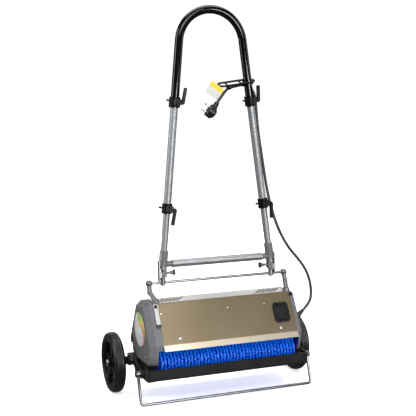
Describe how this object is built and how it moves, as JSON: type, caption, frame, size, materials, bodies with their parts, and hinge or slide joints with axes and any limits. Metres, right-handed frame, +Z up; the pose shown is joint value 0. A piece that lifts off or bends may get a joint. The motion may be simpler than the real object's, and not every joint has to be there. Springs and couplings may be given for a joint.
{
  "type": "twin-brush carpet sweeper",
  "caption": "Upright carpet machine with two counter-rotating brushes, folding telescopic handle, rear wheels, stand and debris trays",
  "frame": {"origin": "on the floor, under the middle of the machine's outline without the cord", "axes": "+Z up, +X to the machine's right, -Y to the front (the side with the outlet panel)"},
  "size_m": [0.638, 0.317, 1.1353],
  "materials": {
    "steel_sheet": "brushed",
    "bright_sheet": "brushed",
    "grey_paint": "crinkle",
    "black_plastic": "satin",
    "black_paint": "gloss",
    "steel_wire": "drawn",
    "zinc": "zinc",
    "aluminium_tube": "satin",
    "blue_bristle": "bristle",
    "tyre_rubber": "rubber",
    "belt_rubber": "rubber",
    "cord_rubber": "pvc",
    "label_print": "printed",
    "tag_paper": "paper",
    "motor_cast": "cast",
    "plated_steel": "plated"
  },
  "bodies": {
    "chassis": {"side_plates": "steel_wire", "inner_frame": "steel_wire", "motor_housing": "motor_cast", "front_panel": "steel_sheet", "rear_panel": "steel_sheet", "top_plate": "bright_sheet", "skirts": "bright_sheet", "left_end_cover": "grey_paint", "right_end_cover": "grey_paint", "lower_guards": "black_plastic", "drive_belt": "belt_rubber", "pivot_pins": "plated_steel", "outlet_body": "black_plastic", "fasteners": "plated_steel", "dial_label": "label_print", "handle_brackets": "zinc", "pivot_rod": "steel_wire", "cord_gland": "cord_rubber", "cord_lower": "cord_rubber"},
    "motor": {"motor_rotor": "motor_cast"},
    "idler": {"idler_pulley": "plated_steel"},
    "front_brush": {"front_brush_core": "black_plastic", "front_bristles": "blue_bristle"},
    "rear_brush": {"rear_brush_core": "black_plastic", "rear_bristles": "blue_bristle"},
    "outlet_lid": {"outlet_flap": "black_plastic"},
    "switch": {"rocker_switch": "black_plastic"},
    "park_catch": {"park_lever": "plated_steel"},
    "left_arm": {"left_wheel_arm": "black_paint"},
    "right_arm": {"right_wheel_arm": "black_paint"},
    "left_wheel": {"left_tyre": "tyre_rubber", "left_rim": "black_plastic", "left_hub_cap": "plated_steel"},
    "right_wheel": {"right_tyre": "tyre_rubber", "right_rim": "black_plastic", "right_hub_cap": "plated_steel"},
    "stand": {"kickstand": "steel_wire"},
    "tray_front": {"front_tray": "black_plastic"},
    "tray_rear": {"rear_tray": "black_plastic"},
    "handle_frame": {"cross_tube": "aluminium_tube"},
    "left_leg": {"left_leg_yoke": "zinc", "left_lower_tube": "aluminium_tube"},
    "right_leg": {"right_leg_yoke": "zinc", "right_lower_tube": "aluminium_tube"},
    "left_knob": {"left_pull_knob": "plated_steel"},
    "right_knob": {"right_pull_knob": "plated_steel"},
    "left_mid": {"left_mid_tube": "aluminium_tube", "left_lower_collar": "black_plastic"},
    "right_mid": {"right_mid_tube": "aluminium_tube", "right_lower_collar": "black_plastic"},
    "loop": {"hand_loop": "black_paint", "upper_collars": "black_plastic", "cord_hook": "black_paint", "cord_upper": "cord_rubber", "cord_plug": "cord_rubber", "cord_tag": "tag_paper"},
    "left_lower_cam": {"left_lower_lever": "black_plastic"},
    "right_lower_cam": {"right_lower_lever": "black_plastic"},
    "left_upper_cam": {"left_upper_lever": "black_plastic"},
    "right_upper_cam": {"right_upper_lever": "black_plastic"}
  },
  "joints": [
    {"name": "front_brush_spin", "type": "hinge", "parent": "chassis", "child": "front_brush", "pos_m": [0, -0.0955, 0.116], "axis": [1, 0, 0], "continuous": true},
    {"name": "rear_brush_spin", "type": "hinge", "parent": "chassis", "child": "rear_brush", "pos_m": [0, 0.0085, 0.116], "axis": [1, 0, 0], "continuous": true},
    {"name": "motor_spin", "type": "hinge", "parent": "chassis", "child": "motor", "pos_m": [0, -0.0435, 0.226], "axis": [1, 0, 0], "continuous": true},
    {"name": "idler_spin", "type": "hinge", "parent": "chassis", "child": "idler", "pos_m": [0, 0.0115, 0.08], "axis": [1, 0, 0], "continuous": true},
    {"name": "outlet_lid_swing", "type": "hinge", "parent": "chassis", "child": "outlet_lid", "pos_m": [0.167, -0.11554, 0.25878], "axis": [-1, 0, 0], "range_deg": [0, 100], "stiffness_Nm_per_rad": 0.02, "springref_deg": -28.65},
    {"name": "rocker_tilt", "type": "hinge", "parent": "chassis", "child": "switch", "pos_m": [-0.2455, 0.0365, 0.165], "axis": [0, -1, 0], "range_deg": [0, 10]},
    {"name": "park_lever_swing", "type": "hinge", "parent": "chassis", "child": "park_catch", "pos_m": [-0.213, -0.09583, 0.28006], "axis": [0, 0.876, -0.4822], "range_deg": [0, 90]},
    {"name": "left_arm_lift", "type": "hinge", "parent": "chassis", "child": "left_arm", "pos_m": [-0.2665, -0.0055, 0.111], "axis": [1, 0, 0], "range_deg": [0, 50]},
    {"name": "right_arm_lift", "type": "hinge", "parent": "chassis", "child": "right_arm", "pos_m": [0.2665, -0.0055, 0.111], "axis": [1, 0, 0], "range_deg": [0, 50]},
    {"name": "left_wheel_spin", "type": "hinge", "parent": "left_arm", "child": "left_wheel", "pos_m": [-0.298, 0.0685, 0.09], "axis": [1, 0, 0], "continuous": true},
    {"name": "right_wheel_spin", "type": "hinge", "parent": "right_arm", "child": "right_wheel", "pos_m": [0.298, 0.0685, 0.09], "axis": [1, 0, 0], "continuous": true},
    {"name": "kickstand_fold", "type": "hinge", "parent": "chassis", "child": "stand", "pos_m": [0, -0.0855, 0.088], "axis": [1, 0, 0], "range_deg": [-95, 0]},
    {"name": "front_tray_pull", "type": "slide", "parent": "chassis", "child": "tray_front", "axis": [0, -1, 0], "range_m": [0, 0.05]},
    {"name": "rear_tray_pull", "type": "slide", "parent": "chassis", "child": "tray_rear", "axis": [0, 1, 0], "range_m": [0, 0.05]},
    {"name": "handle_swing", "type": "hinge", "parent": "chassis", "child": "handle_frame", "pos_m": [0, -0.0415, 0.338], "axis": [-1, 0, 0], "range_deg": [0, 80], "deforming": ["cord_lower"]},
    {"name": "handle_height", "type": "slide", "parent": "handle_frame", "child": "loop", "axis": [0, -0.0209, -0.9998], "range_m": [0, 0.12], "deforming": ["cord_upper"]},
    {"name": "left_leg_in", "type": "slide", "parent": "handle_frame", "child": "left_leg", "axis": [1, 0, 0], "range_m": [0, 0.0137]},
    {"name": "right_leg_in", "type": "slide", "parent": "handle_frame", "child": "right_leg", "axis": [-1, 0, 0], "range_m": [0, 0.0137]},
    {"name": "left_tube_slide", "type": "slide", "parent": "left_leg", "child": "left_mid", "axis": [-0.109, -0.0208, -0.9938], "range_m": [0, 0.0609]},
    {"name": "right_tube_slide", "type": "slide", "parent": "right_leg", "child": "right_mid", "axis": [0.109, -0.0208, -0.9938], "range_m": [0, 0.0609]},
    {"name": "left_knob_pull", "type": "slide", "parent": "left_leg", "child": "left_knob", "axis": [1, 0, 0], "range_m": [0, 0.006], "stiffness_N_per_m": 300, "springref_m": -0.01},
    {"name": "right_knob_pull", "type": "slide", "parent": "right_leg", "child": "right_knob", "axis": [-1, 0, 0], "range_m": [0, 0.006], "stiffness_N_per_m": 300, "springref_m": -0.01},
    {"name": "left_lower_cam", "type": "hinge", "parent": "left_mid", "child": "left_lower_cam", "pos_m": [-0.13356, -0.0526, 0.54827], "axis": [0, -0.9998, 0.0209], "range_deg": [0, 100]},
    {"name": "left_upper_cam", "type": "hinge", "parent": "loop", "child": "left_upper_cam", "pos_m": [-0.1001, -0.04621, 0.8532], "axis": [0, 0.9998, -0.0209], "range_deg": [0, 100]},
    {"name": "right_lower_cam", "type": "hinge", "parent": "right_mid", "child": "right_lower_cam", "pos_m": [0.17012, -0.05251, 0.55228], "axis": [0, -0.9998, 0.0209], "range_deg": [0, 100]},
    {"name": "right_upper_cam", "type": "hinge", "parent": "loop", "child": "right_upper_cam", "pos_m": [0.13666, -0.04613, 0.85721], "axis": [0, 0.9998, -0.0209], "range_deg": [0, 100]}
  ],
  "couplings": [
    {"joint": "rear_brush_spin", "follows": "front_brush_spin", "ratio": -1},
    {"joint": "motor_spin", "follows": "front_brush_spin", "ratio": 1.6667},
    {"joint": "idler_spin", "follows": "front_brush_spin", "ratio": 3.3333},
    {"joint": "right_arm_lift", "follows": "left_arm_lift", "ratio": 1},
    {"joint": "left_leg_in", "follows": "handle_height", "ratio": 0.10969},
    {"joint": "right_leg_in", "follows": "handle_height", "ratio": 0.10969},
    {"joint": "left_tube_slide", "follows": "handle_height", "ratio": 0.503},
    {"joint": "right_tube_slide", "follows": "handle_height", "ratio": 0.503}
  ]
}
